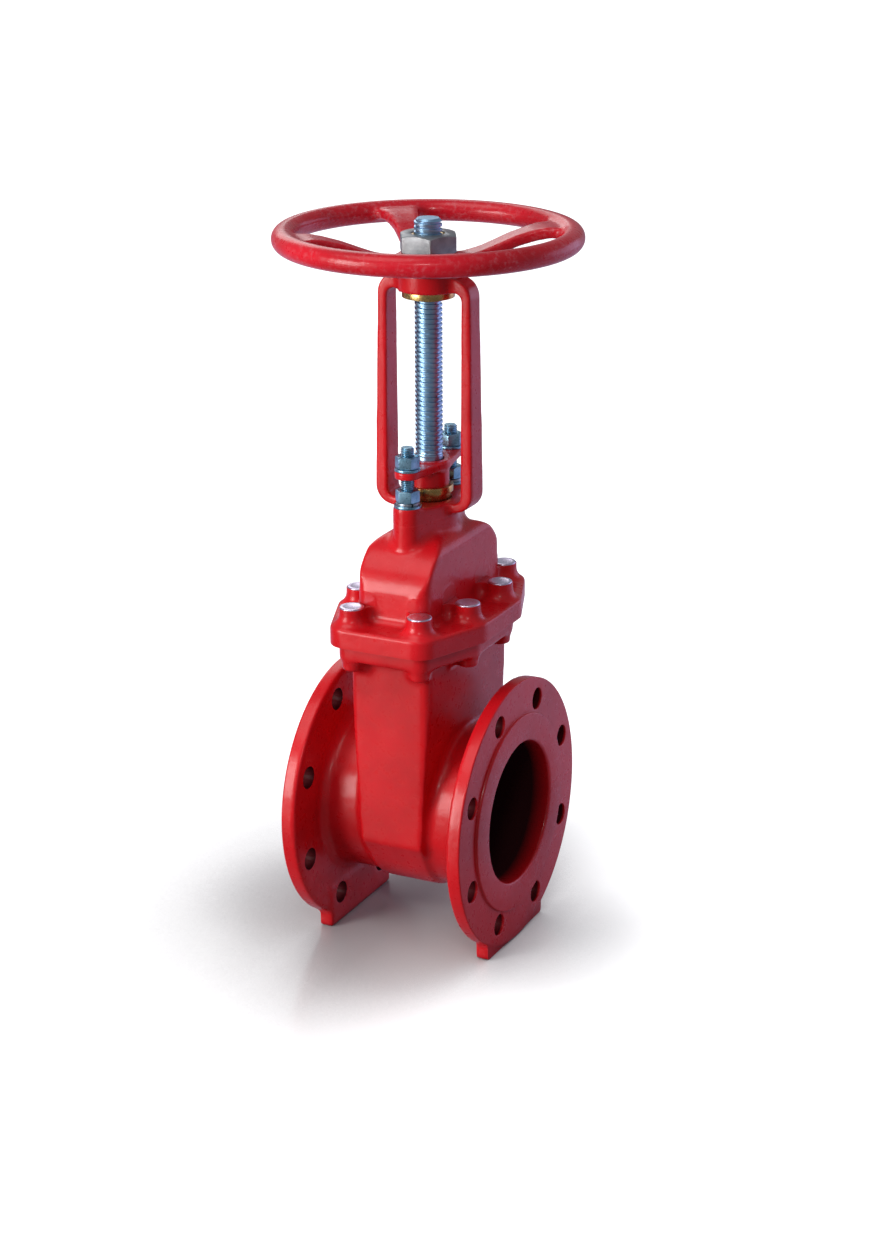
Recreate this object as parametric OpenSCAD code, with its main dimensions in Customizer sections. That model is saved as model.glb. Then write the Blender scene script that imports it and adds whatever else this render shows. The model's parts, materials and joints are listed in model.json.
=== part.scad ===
// Outside-screw-and-yoke gate valve, flanged, with a rising stem and a
// rubber-lined wedge. Millimetres, +Z up the stem, +X along the flow.
// The origin is on the floor between the feet, straight below the stem axis.
// Every piece is drawn about the centre of the flow bore, and on_feet() then
// lifts it so that the soles of the feet stand on z = 0.
// Drawn closed: the wedge is down across the bore.

/* [Flow bore and flanges] */
// Diameter of the clear flow bore
bore_d = 150; // [144:1:151]
// Length between the two raised faces
face_to_face = 210; // [206:1:230]
// Outside diameter of the end flanges
flange_d = 285; // [280:1:292]
// Thickness of the end flanges, raised face included
flange_t = 19; // [17:0.5:21]
// Diameter of the raised sealing face
raised_d = 211; // [200:1:212]
// Height of the raised sealing face
raised_h = 3; // [2:0.5:3]
// Diameter of the circle the flange holes lie on
pitch_circle_d = 240; // [238:0.5:242]
// Diameter of each flange hole
flange_hole_d = 23; // [19:0.5:24]
// Number of holes in each end flange
flange_holes = 8; // [4,8]
// Outside diameter of the pipe barrels behind the flanges
barrel_d = 171; // [170:1:176]

/* [Feet] */
// Distance from the bore axis down to the soles of the feet
foot_drop = 144; // [143.5:0.5:160]
// Width of the feet, across the flow
foot_w = 136; // [100:1:140]

/* [Chamber and bonnet] */
// Half width of the wedge chamber across the flow
chamber_y = 94; // [93.5:0.25:95]
// Height of the joint between body and bonnet
joint_z = 199; // [198.5:0.5:200]
// Thickness of the bonnet's flange
bonnet_flange_t = 20; // [18:0.5:21]
// Thickness of the body's top flange
body_flange_t = 17; // [15:0.5:19]
// Radius of the rounded corners of the bonnet's flange
joint_corner_r = 22.5; // [20:0.5:23]
// Height of the bonnet dome's roof above the bore axis
dome_z = 300; // [299:0.5:301]

/* [Stuffing box and yoke] */
// Distance of each gland stud from the stem axis
stud_y = 49; // [48.5:0.25:50]
// Underside of the yoke, where it sits on the bonnet's neck
yoke_z = 316; // [315:0.5:317]
// Half width of the yoke's window
window_x = 41.5; // [39:0.5:43]
// Top face of the yoke's hub
yoke_top_z = 562; // [561.5:0.25:562.25]

/* [Stem and wedge] */
// Diameter of the stem
stem_d = 28; // [27:0.5:28]
// Top of the stem with the wedge down
stem_top_z = 617; // [612:1:640]
// Radius of the rubber-lined wedge disc
wedge_r = 78.5; // [77:0.5:78.5]

/* [Handwheel] */
// Radius of the middle line of the rim
rim_r = 144; // [130:1:170]
// Diameter of the rim's round section
rim_d = 23; // [20:0.5:26]
// Height of the middle of the rim
rim_z = 598; // [592:1:602]
// Number of spokes
spokes = 4; // [3:1:6]
// Width of each spoke at the rim
spoke_w = 54; // [22:1:60]

/* [Hidden] */
$fn = 96;
graze = 0.04;       // how far straight flanks lie inside their true tangents
bore_r = bore_d / 2;
stem_r = stem_d / 2;
half_length = face_to_face / 2;
flange_back = half_length - flange_t;

// Screws of the body joint, [x, y], anticlockwise
joint_screws = [
    [38, -100], [62, -38.5], [62, 38.5], [38, 100],
    [-38, 100], [-62, 38.5], [-62, -38.5], [-38, -100]];
screw_r = 7;        // joint screws and gland studs alike
tapped_r = screw_r + 0.08;
bonnet_flange_top = joint_z + bonnet_flange_t;
tower_top = bonnet_flange_top + 17;
screw_seat_z = tower_top - 18;

// Stuffing box
bush_seat_z = 262;
bush_seat_r = 20;
bush_h = 10;
packing_z = 276;
packing_r = 22;
packing_rings_n = 4;
packing_pitch = 6.5;
packing_top = packing_z + packing_rings_n * packing_pitch;

// Yoke foot and the stack of pieces on the gland studs
neck_r = 30;
neck_lug_r = 15;
yoke_foot_t = 15;
yoke_foot_top = yoke_z + yoke_foot_t;
pad_top = yoke_foot_top + 2;
washer_h = 2.5;
lock_washer_h = 3;
gland_z = pad_top + 12;
gland_flange_top = gland_z + 26;

// Wedge hub, the nut let into it and the pin along x through both
wedge_hub_z = 60;
wedge_hub_top = 98;
wedge_nut_z = 80;
wedge_nut_size = [30, 34];
shank_r = 11;
pin_r = 4;
pin_z = 89.5;

// Yoke hub, stem nut and handwheel hub
yoke_hub_z = yoke_top_z - 17;
thrust_seat_r = 24;
hub_clear_r = 18;
nut_neck_r = 17;
wheel_bore_r = nut_neck_r + 0.06;
wheel_hub_z = yoke_top_z + 0.5;
wheel_hub_top = yoke_top_z + 21.5;
keyway_x = 15.4;
keyway_z = yoke_top_z + 2;
key_w = 8;
key_fit = 0.03;     // gap on each side of the key

// ---- Placing ----

module at_z(z) { translate([0, 0, z]) children(); }

module on_feet() { at_z(foot_drop) children(); }

module both_ends() { for (end = [0, 1]) mirror([end, 0, 0]) children(); }

module at_screws(z) { for (p = joint_screws) translate([p.x, p.y, z]) children(); }

module at_studs(z) { for (side = [-1, 1]) translate([0, side * stud_y, z]) children(); }

// Lays a flat outline drawn in (y, z) across the flow, from -half to half.
module along_x(half = 60) {
    rotate([90, 0, 90]) at_z(-half) linear_extrude(height = 2 * half) children();
}

// Lays a flat outline drawn in (x, z) along y, from -half to half.
module along_y(half = 110) {
    rotate([90, 0, 0]) at_z(-half) linear_extrude(height = 2 * half) children();
}

// ---- Shared shapes ----

function unit(v) = v / norm(v);
function out_normal(from, to) = unit([to.y - from.y, from.x - to.x]);
function next(points, i) = points[(i + 1) % len(points)];

// A plate whose corners are circles of radius r about the points of a
// convex outline, given anticlockwise. The straight flanks sit a hair inside
// the true tangents, so that they cross the circles instead of grazing them.
module round_outline(points, r) {
    flank = r - graze;
    polygon([for (i = [0 : len(points) - 1])
        let (start = points[i], end = next(points, i), shift = flank * out_normal(start, end))
        each [start + shift, end + shift]]);
    for (centre = points) translate(centre) circle(r = r);
}

// A central circle joined by straight flanks to smaller circles on the studs.
module lug_outline(big_r, lug_r) {
    angle = asin((big_r - lug_r) / stud_y);
    normal = [cos(angle), sin(angle)];
    inner = (big_r - graze) * normal;
    outer = (lug_r - graze) * normal + [0, stud_y];
    polygon([inner, outer, [-outer.x, outer.y], [-inner.x, inner.y],
        -inner, -outer, [outer.x, -outer.y], [inner.x, -inner.y]]);
    circle(r = big_r);
    for (side = [-1, 1]) translate([0, side * stud_y]) circle(r = lug_r);
}

module round_rect(half_x, half_y, r) {
    square([2 * half_x, 2 * (half_y - r)], center = true);
    square([2 * (half_x - r), 2 * half_y], center = true);
    for (sx = [-1, 1], sy = [-1, 1])
        translate([sx * (half_x - r), sy * (half_y - r)]) circle(r = r);
}

module x_cylinder(r, x0, x1) {
    translate([x0, 0, 0]) rotate([0, 90, 0]) cylinder(r = r, h = x1 - x0);
}

// A box centred on x = 0 and on the given y, with its underside at z.
module mid_box(size, z, y = 0) {
    translate([-size.x / 2, y - size.y / 2, z]) cube(size);
}

module washer(outer_r, hole_r, h) {
    difference() {
        cylinder(r = outer_r, h = h);
        at_z(-1) cylinder(r = hole_r, h = h + 2);
    }
}

// A hexagon with its corners turned off by a cone at each end, and bored.
module turned_hex(flats, h, mid_r, low_r, low_h, top_r, top_h, hole_r) {
    difference() {
        intersection() {
            cylinder(r = flats / sqrt(3), h = h, $fn = 6);
            union() {
                cylinder(r1 = low_r, r2 = mid_r, h = low_h);
                at_z(low_h) cylinder(r = mid_r, h = h - low_h - top_h);
                at_z(h - top_h) cylinder(r1 = mid_r, r2 = top_r, h = top_h);
            }
        }
        at_z(-1) cylinder(r = hole_r, h = h + 2);
    }
}

module stud_nut() {
    flats = 22;
    face_r = flats * 0.475;
    turned_hex(flats = flats, h = 12.8, mid_r = face_r + 3.4641,
        low_r = face_r, low_h = 2, top_r = face_r, top_h = 2, hole_r = tapped_r);
}

// ---- Wedge chamber ----

taper = 0.0625;
seat_base_x = 26;
chamber_low = -120;         // below everything in the chamber
chamber_top = joint_z - 5;
guide_y = 84.2;

// Half thickness of the wedge chamber at height z: it narrows downward, so
// the wedge tightens only at the end of its travel.
function seat_x(z) = seat_base_x + taper * z;

// The chamber's section in (x, z), grown outward and no wider than half_max.
module tapered_section(grow, top, half_max) {
    low_x = seat_x(chamber_low) + grow;
    top_x = min(half_max, seat_x(top) + grow);
    bend_z = min(top, (half_max - grow - seat_base_x) / taper);
    polygon(concat([[-low_x, chamber_low], [low_x, chamber_low], [top_x, bend_z]],
        bend_z < top ? [[top_x, top], [-top_x, top]] : [], [[-top_x, bend_z]]));
}

// Chamber outline across the flow: upright sides, rounded under into the
// belly circle along straight tangents.
module chamber_outline() {
    half = chamber_y + 2;
    belly_r = 90;
    corner_r = 13;
    drop = 14;              // corner centres below the bore axis
    corner_y = half - corner_r;
    angle = -atan2(drop, corner_y) - acos((belly_r - corner_r) / norm([corner_y, drop]));
    belly = (belly_r - graze) * [cos(angle), sin(angle)];
    corner = [corner_y, -drop] + (corner_r - graze) * [cos(angle), sin(angle)];
    for (side = [-1, 1]) {
        polygon([[0, 0], [side * belly.x, belly.y], [side * corner.x, corner.y],
            [side * corner_y, -drop], [side * corner_y, 1], [0, 1]]);
        translate([side * corner_y, -drop]) circle(r = corner_r);
    }
    circle(r = belly_r);
    translate([-half, -drop]) square([2 * half, chamber_top + drop]);
}

module chamber_column(half_x, half_y, r) {
    at_z(chamber_low) linear_extrude(height = 400) round_rect(half_x, half_y, r);
}

module chamber_shell() {
    intersection() {
        along_x() chamber_outline();
        along_y() tapered_section(grow = 10.3, top = chamber_top, half_max = 44.5);
        chamber_column(46, chamber_y, 10);
    }
}

module chamber_hollow() {
    intersection() {
        along_x() {
            circle(r = 81.5);
            translate([-guide_y, -16]) square([2 * guide_y, joint_z + 17]);
        }
        along_y() tapered_section(grow = 0, top = joint_z + 1, half_max = 34);
        chamber_column(36, guide_y + 2, 9);
    }
}

module guide_ribs() {
    for (side = [-1, 1]) mid_box([10, 5, 218], z = -20, y = side * (guide_y - 1.7));
}

// ---- Body ----

gasket_h = 3;

// The gasket groove's plan, drawn in by gap all round.
module gasket_outline(gap) {
    difference() {
        round_rect(40.5 - gap, 90.5 - gap, 12 - gap);
        round_rect(36 + gap, 86 + gap, 7.5 + gap);
    }
}

// The flange at +x with its pipe barrel, turned about the bore axis
module end_flange() {
    root_r = 9;
    barrel_r = barrel_d / 2;
    rotate([0, 90, 0]) rotate_extrude() difference() {
        union() {
            translate([0, flange_back]) square([flange_d / 2, flange_t - raised_h]);
            square([raised_d / 2, half_length]);
        }
        // the hollow between flange and chamber, with a cast fillet at its root
        difference() {
            translate([barrel_r, -1]) square([100, flange_back + 1]);
            difference() {
                translate([barrel_r, flange_back - root_r]) square([root_r, root_r]);
                translate([barrel_r + root_r, flange_back - root_r]) circle(r = root_r);
            }
        }
    }
}

module foot() {
    inward = 1.5;           // how far the foot reaches behind the flange
    translate([flange_back - inward, -foot_w / 2, -foot_drop])
        cube([flange_t - raised_h + inward, foot_w, 45]);
}

module flange_drilling() {
    for (i = [0 : flange_holes - 1]) rotate([(i + 0.5) * 360 / flange_holes, 0, 0])
        at_z(pitch_circle_d / 2)
            x_cylinder(flange_hole_d / 2, flange_back - 14, half_length + 1);
}

// Bosses under the joint flange hold the screw threads. Each has a second
// cylinder leaning in toward the stem axis.
module screw_bosses() {
    boss_h = 18.5;
    at_z(joint_z - 29.5) for (p = joint_screws) translate(p) {
        cylinder(r = 11, h = boss_h);
        translate([-p.x * 0.2, -p.y * 0.08, 0]) cylinder(r = 10, h = boss_h);
    }
}

module body() {
    color([0.76, 0.10, 0.12]) on_feet() difference() {
        union() {
            chamber_shell();
            both_ends() difference() {
                union() {
                    end_flange();
                    foot();
                }
                flange_drilling();
            }
            at_z(joint_z - body_flange_t) linear_extrude(height = body_flange_t)
                round_outline(joint_screws, 13.5);
            screw_bosses();
        }
        difference() {
            chamber_hollow();
            guide_ribs();
        }
        x_cylinder(bore_r, -half_length - 1, half_length + 1);
        // bore mouths are chamfered
        both_ends() translate([half_length - 4, 0, 0]) rotate([0, 90, 0])
            cylinder(r1 = bore_r - 1, r2 = bore_r + 4, h = 5);
        at_z(joint_z - gasket_h) linear_extrude(height = gasket_h + 1) gasket_outline(0);
        at_screws(joint_z - 27) cylinder(r = tapped_r, h = 29);
    }
}

// ---- Bonnet and its joint ----

// A flat-topped arch: upright sides with rounded shoulders
module arch(half, top, r) {
    low = 190;              // below the joint
    translate([-half, low]) square([2 * half, top - r - low]);
    translate([-(half - r), low]) square([2 * (half - r), top - low]);
    for (side = [-1, 1]) translate([side * (half - r), top - r]) circle(r = r);
}

// The plan [half_x, half_y, r] gives the walls, two arches [half, r] the roof.
module dome(across, along, plan, low, top) {
    intersection() {
        along_x() arch(across[0], top, across[1]);
        along_y() arch(along[0], top, along[1]);
        at_z(low) linear_extrude(height = 120) round_rect(plan[0], plan[1], plan[2]);
    }
}

module bonnet() {
    neck_low = 270;
    color([0.77, 0.10, 0.12]) on_feet() difference() {
        union() {
            at_z(joint_z) linear_extrude(height = bonnet_flange_t)
                round_outline(joint_screws, joint_corner_r);
            dome(across = [90, 64], along = [42, 20], plan = [40.5, 88, 13],
                low = joint_z + 1, top = dome_z);
            // neck with the two stud lugs
            at_z(neck_low) linear_extrude(height = yoke_z - neck_low)
                lug_outline(neck_r, neck_lug_r);
            // screw towers
            at_screws(bonnet_flange_top - 2) {
                cylinder(r = 13.5, h = 19);
                cylinder(r1 = 19, r2 = 13.5, h = 10);
            }
        }
        difference() {
            dome(across = [80, 54], along = [34, 12], plan = [32.5, 78.5, 7],
                low = joint_z - 1, top = dome_z - 10);
            // stuffing box hangs inside the dome
            at_z(bush_seat_z) cylinder(r = 28, h = 40);
        }
        at_z(bush_seat_z - 1) cylinder(r = bush_seat_r, h = bush_h + 1);
        at_z(bush_seat_z) cylinder(r = 14.6, h = 40);
        at_z(packing_z) cylinder(r = packing_r, h = 60);
        at_studs(yoke_z - 26) cylinder(r = tapped_r, h = 40);
        at_screws(joint_z - 1) cylinder(r = 7.5, h = 30);
        at_screws(screw_seat_z) cylinder(r = 11, h = 30);
    }
}

module bonnet_gasket() {
    color([0.10, 0.10, 0.11]) on_feet() at_z(joint_z - gasket_h)
        linear_extrude(height = gasket_h) gasket_outline(0.2);
}

module bonnet_screws() {
    head_r = 10.5;
    socket_flats = 12;
    color([0.72, 0.74, 0.78]) on_feet() at_screws(screw_seat_z) difference() {
        union() {
            cylinder(r = head_r, h = 13);
            at_z(13) cylinder(r1 = head_r, r2 = 9.6, h = 1);
            at_z(-43) cylinder(r = screw_r, h = 44);
            at_z(-44.5) cylinder(r1 = 5.5, r2 = screw_r, h = 1.5);
        }
        at_z(7) cylinder(r = socket_flats * 2 / 2 / sqrt(3), h = 8, $fn = 6);
    }
}

module screw_caps() {
    cap_r = 12.6;
    edge_z = 1.1;
    color([0.84, 0.85, 0.88]) on_feet() at_screws(tower_top) {
        cylinder(r = cap_r, h = edge_z);
        at_z(edge_z) cylinder(r1 = cap_r, r2 = 11.9, h = 0.5);
        at_z(-3.4) cylinder(r = 10.9, h = 4);
    }
}

// ---- Yoke ----

module window_outline(h) {
    r = 7;
    inner_x = window_x - r;
    translate([-window_x, r]) square([2 * window_x, h - 2 * r]);
    translate([-inner_x, 0]) square([2 * inner_x, h]);
    for (side = [-1, 1], z = [r, h - r]) translate([side * inner_x, z]) circle(r = r);
}

// The frame in (x, z), narrower at the top, with rounded outer corners
module yoke_outline() {
    corner_r = 20;
    low_z = yoke_z + 5;
    high_z = yoke_top_z - 1.5;
    low_x = 54.5;
    high_x = 51.5;
    low_corner = [low_x - corner_r, low_z + corner_r];
    high_corner = [high_x - corner_r, high_z - corner_r];
    difference() {
        union() {
            polygon([[-low_corner.x, low_z], [low_corner.x, low_z],
                [low_x, low_corner.y], [high_x, high_corner.y],
                [high_corner.x, high_z], [-high_corner.x, high_z],
                [-high_x, high_corner.y], [-low_x, low_corner.y]]);
            for (side = [-1, 1], corner = [low_corner, high_corner])
                translate([side * corner.x, corner.y]) circle(r = corner_r);
        }
        translate([0, yoke_foot_top - 1]) window_outline(yoke_top_z - 15 - yoke_foot_top);
    }
}

module yoke() {
    color([0.75, 0.10, 0.12]) on_feet() difference() {
        union() {
            intersection() {
                along_y(30) yoke_outline();
                // the legs thin upward across the flow
                along_x(80) polygon([[-15, yoke_z - 5], [15, yoke_z - 5],
                    [12, yoke_top_z + 5], [-12, yoke_top_z + 5]]);
            }
            at_z(yoke_z) linear_extrude(height = yoke_foot_t) lug_outline(neck_r, neck_lug_r);
            at_studs(yoke_foot_top - 1) cylinder(r = 14.5, h = 3);
            at_z(yoke_hub_z) cylinder(r = 31.5, h = 17);
        }
        at_z(yoke_z - 1) cylinder(r = packing_r + 0.3, h = yoke_foot_t + 4);
        at_studs(yoke_z - 1) cylinder(r = 7.6, h = 30);
        at_z(yoke_hub_z - 1) {
            cylinder(r = thrust_seat_r, h = 13.5);
            cylinder(r = hub_clear_r, h = 30);
        }
    }
}

// ---- Gland studs, nuts and washers ----

module gland_studs() {
    color([0.66, 0.70, 0.76]) on_feet() {
        at_studs(yoke_z - 25) cylinder(r = screw_r, h = 103);
        at_studs(yoke_z + 78) cylinder(r1 = screw_r, r2 = 6, h = 1);
    }
}

module yoke_washers() {
    color([0.74, 0.77, 0.82]) on_feet() at_studs(pad_top) washer(14, 7.4, washer_h);
}

// Split rings, each with a slot turned away from the x axis
module yoke_lock_washers() {
    slot_w = 1.8;
    color([0.55, 0.58, 0.62]) on_feet() for (side = [-1, 1])
        translate([0, side * stud_y, pad_top + washer_h]) rotate([0, 0, side * 40])
            difference() {
                washer(12, 7.3, lock_washer_h);
                translate([5, -slot_w / 2, -1]) cube([10, slot_w, 5]);
            }
}

module yoke_nuts() {
    color([0.60, 0.66, 0.74]) on_feet() at_studs(pad_top + washer_h + lock_washer_h)
        rotate([0, 0, 12]) stud_nut();
}

module gland_washers() {
    color([0.74, 0.77, 0.82]) on_feet() at_studs(gland_flange_top) washer(13, 7.4, washer_h);
}

module gland_nuts() {
    color([0.60, 0.66, 0.74]) on_feet() for (side = [-1, 1])
        translate([0, side * stud_y, gland_flange_top + washer_h])
            rotate([0, 0, -14 * side]) stud_nut();
}

// ---- Stuffing box ----

module backseat_bush() {
    bush_bore_r = stem_r + 0.15;
    color([0.78, 0.58, 0.25]) on_feet() at_z(bush_seat_z) difference() {
        cylinder(r = bush_seat_r, h = bush_h);
        at_z(-1) cylinder(r = bush_bore_r, h = bush_h + 2);
        at_z(-1) cylinder(r1 = stem_r + 2.45, r2 = bush_bore_r, h = 2.3);
    }
}

module packing_rings() {
    color([0.22, 0.22, 0.23]) on_feet() for (i = [0 : packing_rings_n - 1])
        at_z(packing_z + i * packing_pitch)
            washer(packing_r - 0.05, stem_r + 0.06, packing_pitch - 0.1);
}

module gland_bush() {
    rim_h = 7;
    color([0.80, 0.62, 0.27]) on_feet() difference() {
        union() {
            at_z(packing_top) cylinder(r = packing_r - 0.1, h = gland_z - packing_top);
            at_z(gland_z - rim_h) cylinder(r = 24.5, h = rim_h);
        }
        at_z(200) cylinder(r = stem_r + 0.4, h = 200);
    }
}

module gland_flange() {
    plate_t = 8;
    color([0.74, 0.11, 0.13]) on_feet() difference() {
        union() {
            at_z(gland_z) cylinder(r = 20.5, h = 27);
            at_z(gland_flange_top - plate_t) linear_extrude(height = plate_t)
                lug_outline(22.5, 13);
        }
        at_z(gland_z - 1) cylinder(r = stem_r + 1.2, h = 40);
        at_studs(gland_z) cylinder(r = 7.8, h = 40);
    }
}

// ---- Stem and wedge ----

module stem() {
    collar_r = stem_r + 4;
    rod_z = wedge_hub_top + 8;
    tip_h = 3;
    color([0.55, 0.60, 0.66]) on_feet() difference() {
        union() {
            at_z(rod_z) cylinder(r = stem_r, h = stem_top_z - tip_h - rod_z);
            at_z(stem_top_z - tip_h) cylinder(r1 = stem_r, r2 = stem_r - 3, h = tip_h);
            at_z(wedge_hub_top + 0.2) cylinder(r = collar_r, h = 5.8);
            at_z(wedge_hub_top + 6) cylinder(r1 = collar_r, r2 = stem_r, h = 4);
            at_z(wedge_nut_z + 1) cylinder(r = shank_r, h = 20);
        }
        pin_hole();
    }
}

module pin_hole() { at_z(pin_z) x_cylinder(pin_r + 0.05, -40, 40); }

module wedge_nut() {
    gap = 0.1;
    color([0.79, 0.60, 0.26]) on_feet() difference() {
        mid_box([wedge_nut_size.x - 2 * gap, wedge_nut_size.y - 2 * gap,
            wedge_hub_top - wedge_nut_z - 2 * gap], z = wedge_nut_z + gap);
        at_z(70) cylinder(r = shank_r + 0.06, h = 40);
        pin_hole();
    }
}

module wedge_pin() {
    color([0.80, 0.82, 0.85]) on_feet() at_z(pin_z) x_cylinder(pin_r, -21, 21);
}

// A disc squared off above z = low, as thick as the tapered chamber less inset
module wedge_disc(r, low, h, inset) {
    intersection() {
        along_x() {
            circle(r = r);
            translate([-r, low]) square([2 * r, h]);
        }
        along_y() tapered_section(grow = -inset, top = 120, half_max = 40);
    }
}

module core_solid() {
    wedge_disc(r = wedge_r - 5, low = -12, h = 50, inset = 4.6);
    // side lugs for the guide shoes
    for (side = [-1, 1]) mid_box([14, 7.5, 36], z = -5, y = side * 73.75);
    // hub that holds the stem
    mid_box([44, 50, wedge_hub_top - wedge_hub_z], z = wedge_hub_z);
}

module wedge_core() {
    color([0.35, 0.36, 0.38]) on_feet() difference() {
        core_solid();
        mid_box([wedge_nut_size.x, wedge_nut_size.y, 30], z = wedge_nut_z);
        pin_hole();
        at_z(wedge_nut_z - 4) cylinder(r = 12, h = 10);
    }
}

module wedge_rubber() {
    color([0.08, 0.08, 0.09]) on_feet() difference() {
        wedge_disc(r = wedge_r, low = -14, h = 54, inset = 0.1);
        core_solid();
        // room for the guide shoes
        for (side = [-1, 1]) mid_box([24.2, 10, 46.2], z = -10.1, y = side * 80);
    }
}

// Each shoe fits over a core lug and has a groove for a guide rib.
module guide_shoes() {
    color([0.90, 0.88, 0.80]) on_feet() for (side = [0, 1]) mirror([0, side, 0]) difference() {
        mid_box([24, 8.55, 46], z = -10, y = 79.325);
        mid_box([14.1, 7.55, 36.1], z = -5.05, y = 73.775);
        mid_box([10.3, 10, 70], z = -20, y = 84.85);
    }
}

// ---- Stem nut and its thrust seat ----

module stem_nut() {
    color([0.80, 0.61, 0.26]) on_feet() difference() {
        union() {
            at_z(yoke_top_z - 26) cylinder(r = 17.6, h = 26);
            at_z(yoke_top_z - 13.5) cylinder(r = thrust_seat_r - 1, h = 7);
            at_z(yoke_top_z - 1) cylinder(r = nut_neck_r, h = 40);
        }
        at_z(500) cylinder(r = stem_r + 0.08, h = 150);
        translate([keyway_x, -key_w / 2, keyway_z]) cube([8, key_w, 19]);
    }
}

module thrust_washer(z, h) {
    on_feet() at_z(z) washer(thrust_seat_r - 0.5, hub_clear_r - 0.1, h);
}

module thrust_washer_lower() {
    color([0.86, 0.85, 0.80]) thrust_washer(yoke_top_z - 16, 2.4);
}

module thrust_washer_upper() {
    color([0.86, 0.85, 0.80]) thrust_washer(yoke_top_z - 6.4, 1.9);
}

module retaining_ring() {
    ring_h = 6.5;
    ring_z = yoke_hub_z - ring_h;
    color([0.80, 0.61, 0.26]) on_feet() difference() {
        union() {
            at_z(ring_z) cylinder(r = 26.5, h = ring_h);
            at_z(yoke_hub_z - 1) cylinder(r = thrust_seat_r - 0.05, h = 2);
        }
        at_z(ring_z - 6.5) cylinder(r = hub_clear_r, h = 20);
        // spanner holes
        for (a = [45 : 90 : 315]) rotate([0, 0, a]) translate([22.3, 0, ring_z - 0.5])
            cylinder(r = 2, h = 4);
    }
}

// ---- Handwheel ----

// Spoke section, [radius, z]: from the low hub out and up to the rim in an
// easy S, then back along the top
spoke_section = [
    [20, 566], [30, 566.5], [42, 568.5], [56, 573], [72, 579], [90, 585.5],
    [108, 590.5], [122, 593], [rim_r, rim_z - 5.5],
    [rim_r, rim_z + 5.5], [120, 604.5], [106, 602], [88, 597], [70, 590],
    [54, 584], [40, 580.5], [28, 579.5], [20, 579.5]];

// Spoke plan, [distance from the stem axis, half width]
spoke_plan = [
    [10, 15], [60, 13], [95, 14], [115, 17.5], [130, 22], [rim_r + 2, spoke_w / 2]];

module spoke_outline() {
    polygon(concat([for (p = spoke_plan) [p.x, -p.y]],
        [for (i = [len(spoke_plan) - 1 : -1 : 0]) spoke_plan[i]]));
}

module handwheel() {
    low = 540;              // below the whole wheel
    color([0.78, 0.09, 0.13]) on_feet() difference() {
        union() {
            at_z(rim_z) rotate_extrude() translate([rim_r, 0]) circle(r = rim_d / 2);
            at_z(wheel_hub_z) cylinder(r = 27, h = wheel_hub_top - wheel_hub_z);
            intersection() {
                rotate_extrude() polygon(spoke_section);
                for (i = [0 : spokes - 1]) rotate([0, 0, 40 + i * 360 / spokes])
                    at_z(low) linear_extrude(height = 100) spoke_outline();
            }
        }
        at_z(low) cylinder(r = wheel_bore_r, h = 60);
        translate([10, -key_w / 2 - key_fit, low]) cube([10.6, key_w + 2 * key_fit, 60]);
    }
}

module handwheel_key() {
    color([0.62, 0.63, 0.66]) on_feet()
        translate([keyway_x + 0.05, -key_w / 2 + key_fit, keyway_z + 0.05])
            cube([5.1, key_w - 2 * key_fit, 18.9]);
}

module handwheel_nut() {
    color([0.46, 0.47, 0.48]) on_feet() at_z(wheel_hub_top)
        turned_hex(flats = 54, h = 18.5, mid_r = 32, low_r = 28, low_h = 2.3,
            top_r = 27, top_h = 2.8, hole_r = wheel_bore_r);
}

body();
bonnet();
bonnet_gasket();
bonnet_screws();
screw_caps();
yoke();
gland_studs();
yoke_washers();
yoke_lock_washers();
yoke_nuts();
backseat_bush();
packing_rings();
gland_bush();
gland_flange();
gland_washers();
gland_nuts();
stem();
wedge_nut();
wedge_pin();
wedge_core();
wedge_rubber();
guide_shoes();
stem_nut();
thrust_washer_lower();
thrust_washer_upper();
retaining_ring();
handwheel();
handwheel_key();
handwheel_nut();
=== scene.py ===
"""Looks for an outside-screw-and-yoke gate valve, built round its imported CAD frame.

The bore runs along x. The stem stands along z, with the handwheel on top, and
the gland studs stand on either side of it along y. Shapes are in millimetres.

Castings are made the way real ones are. The CAD solid gets machining stock
and has its holes filled, the skin is remeshed with rounded inside corners,
and then the machined faces, bores and holes are cut back to the CAD sizes.
"""

import json
import math

import bmesh
import bpy
import numpy as np
from mathutils import Matrix, Vector


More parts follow.
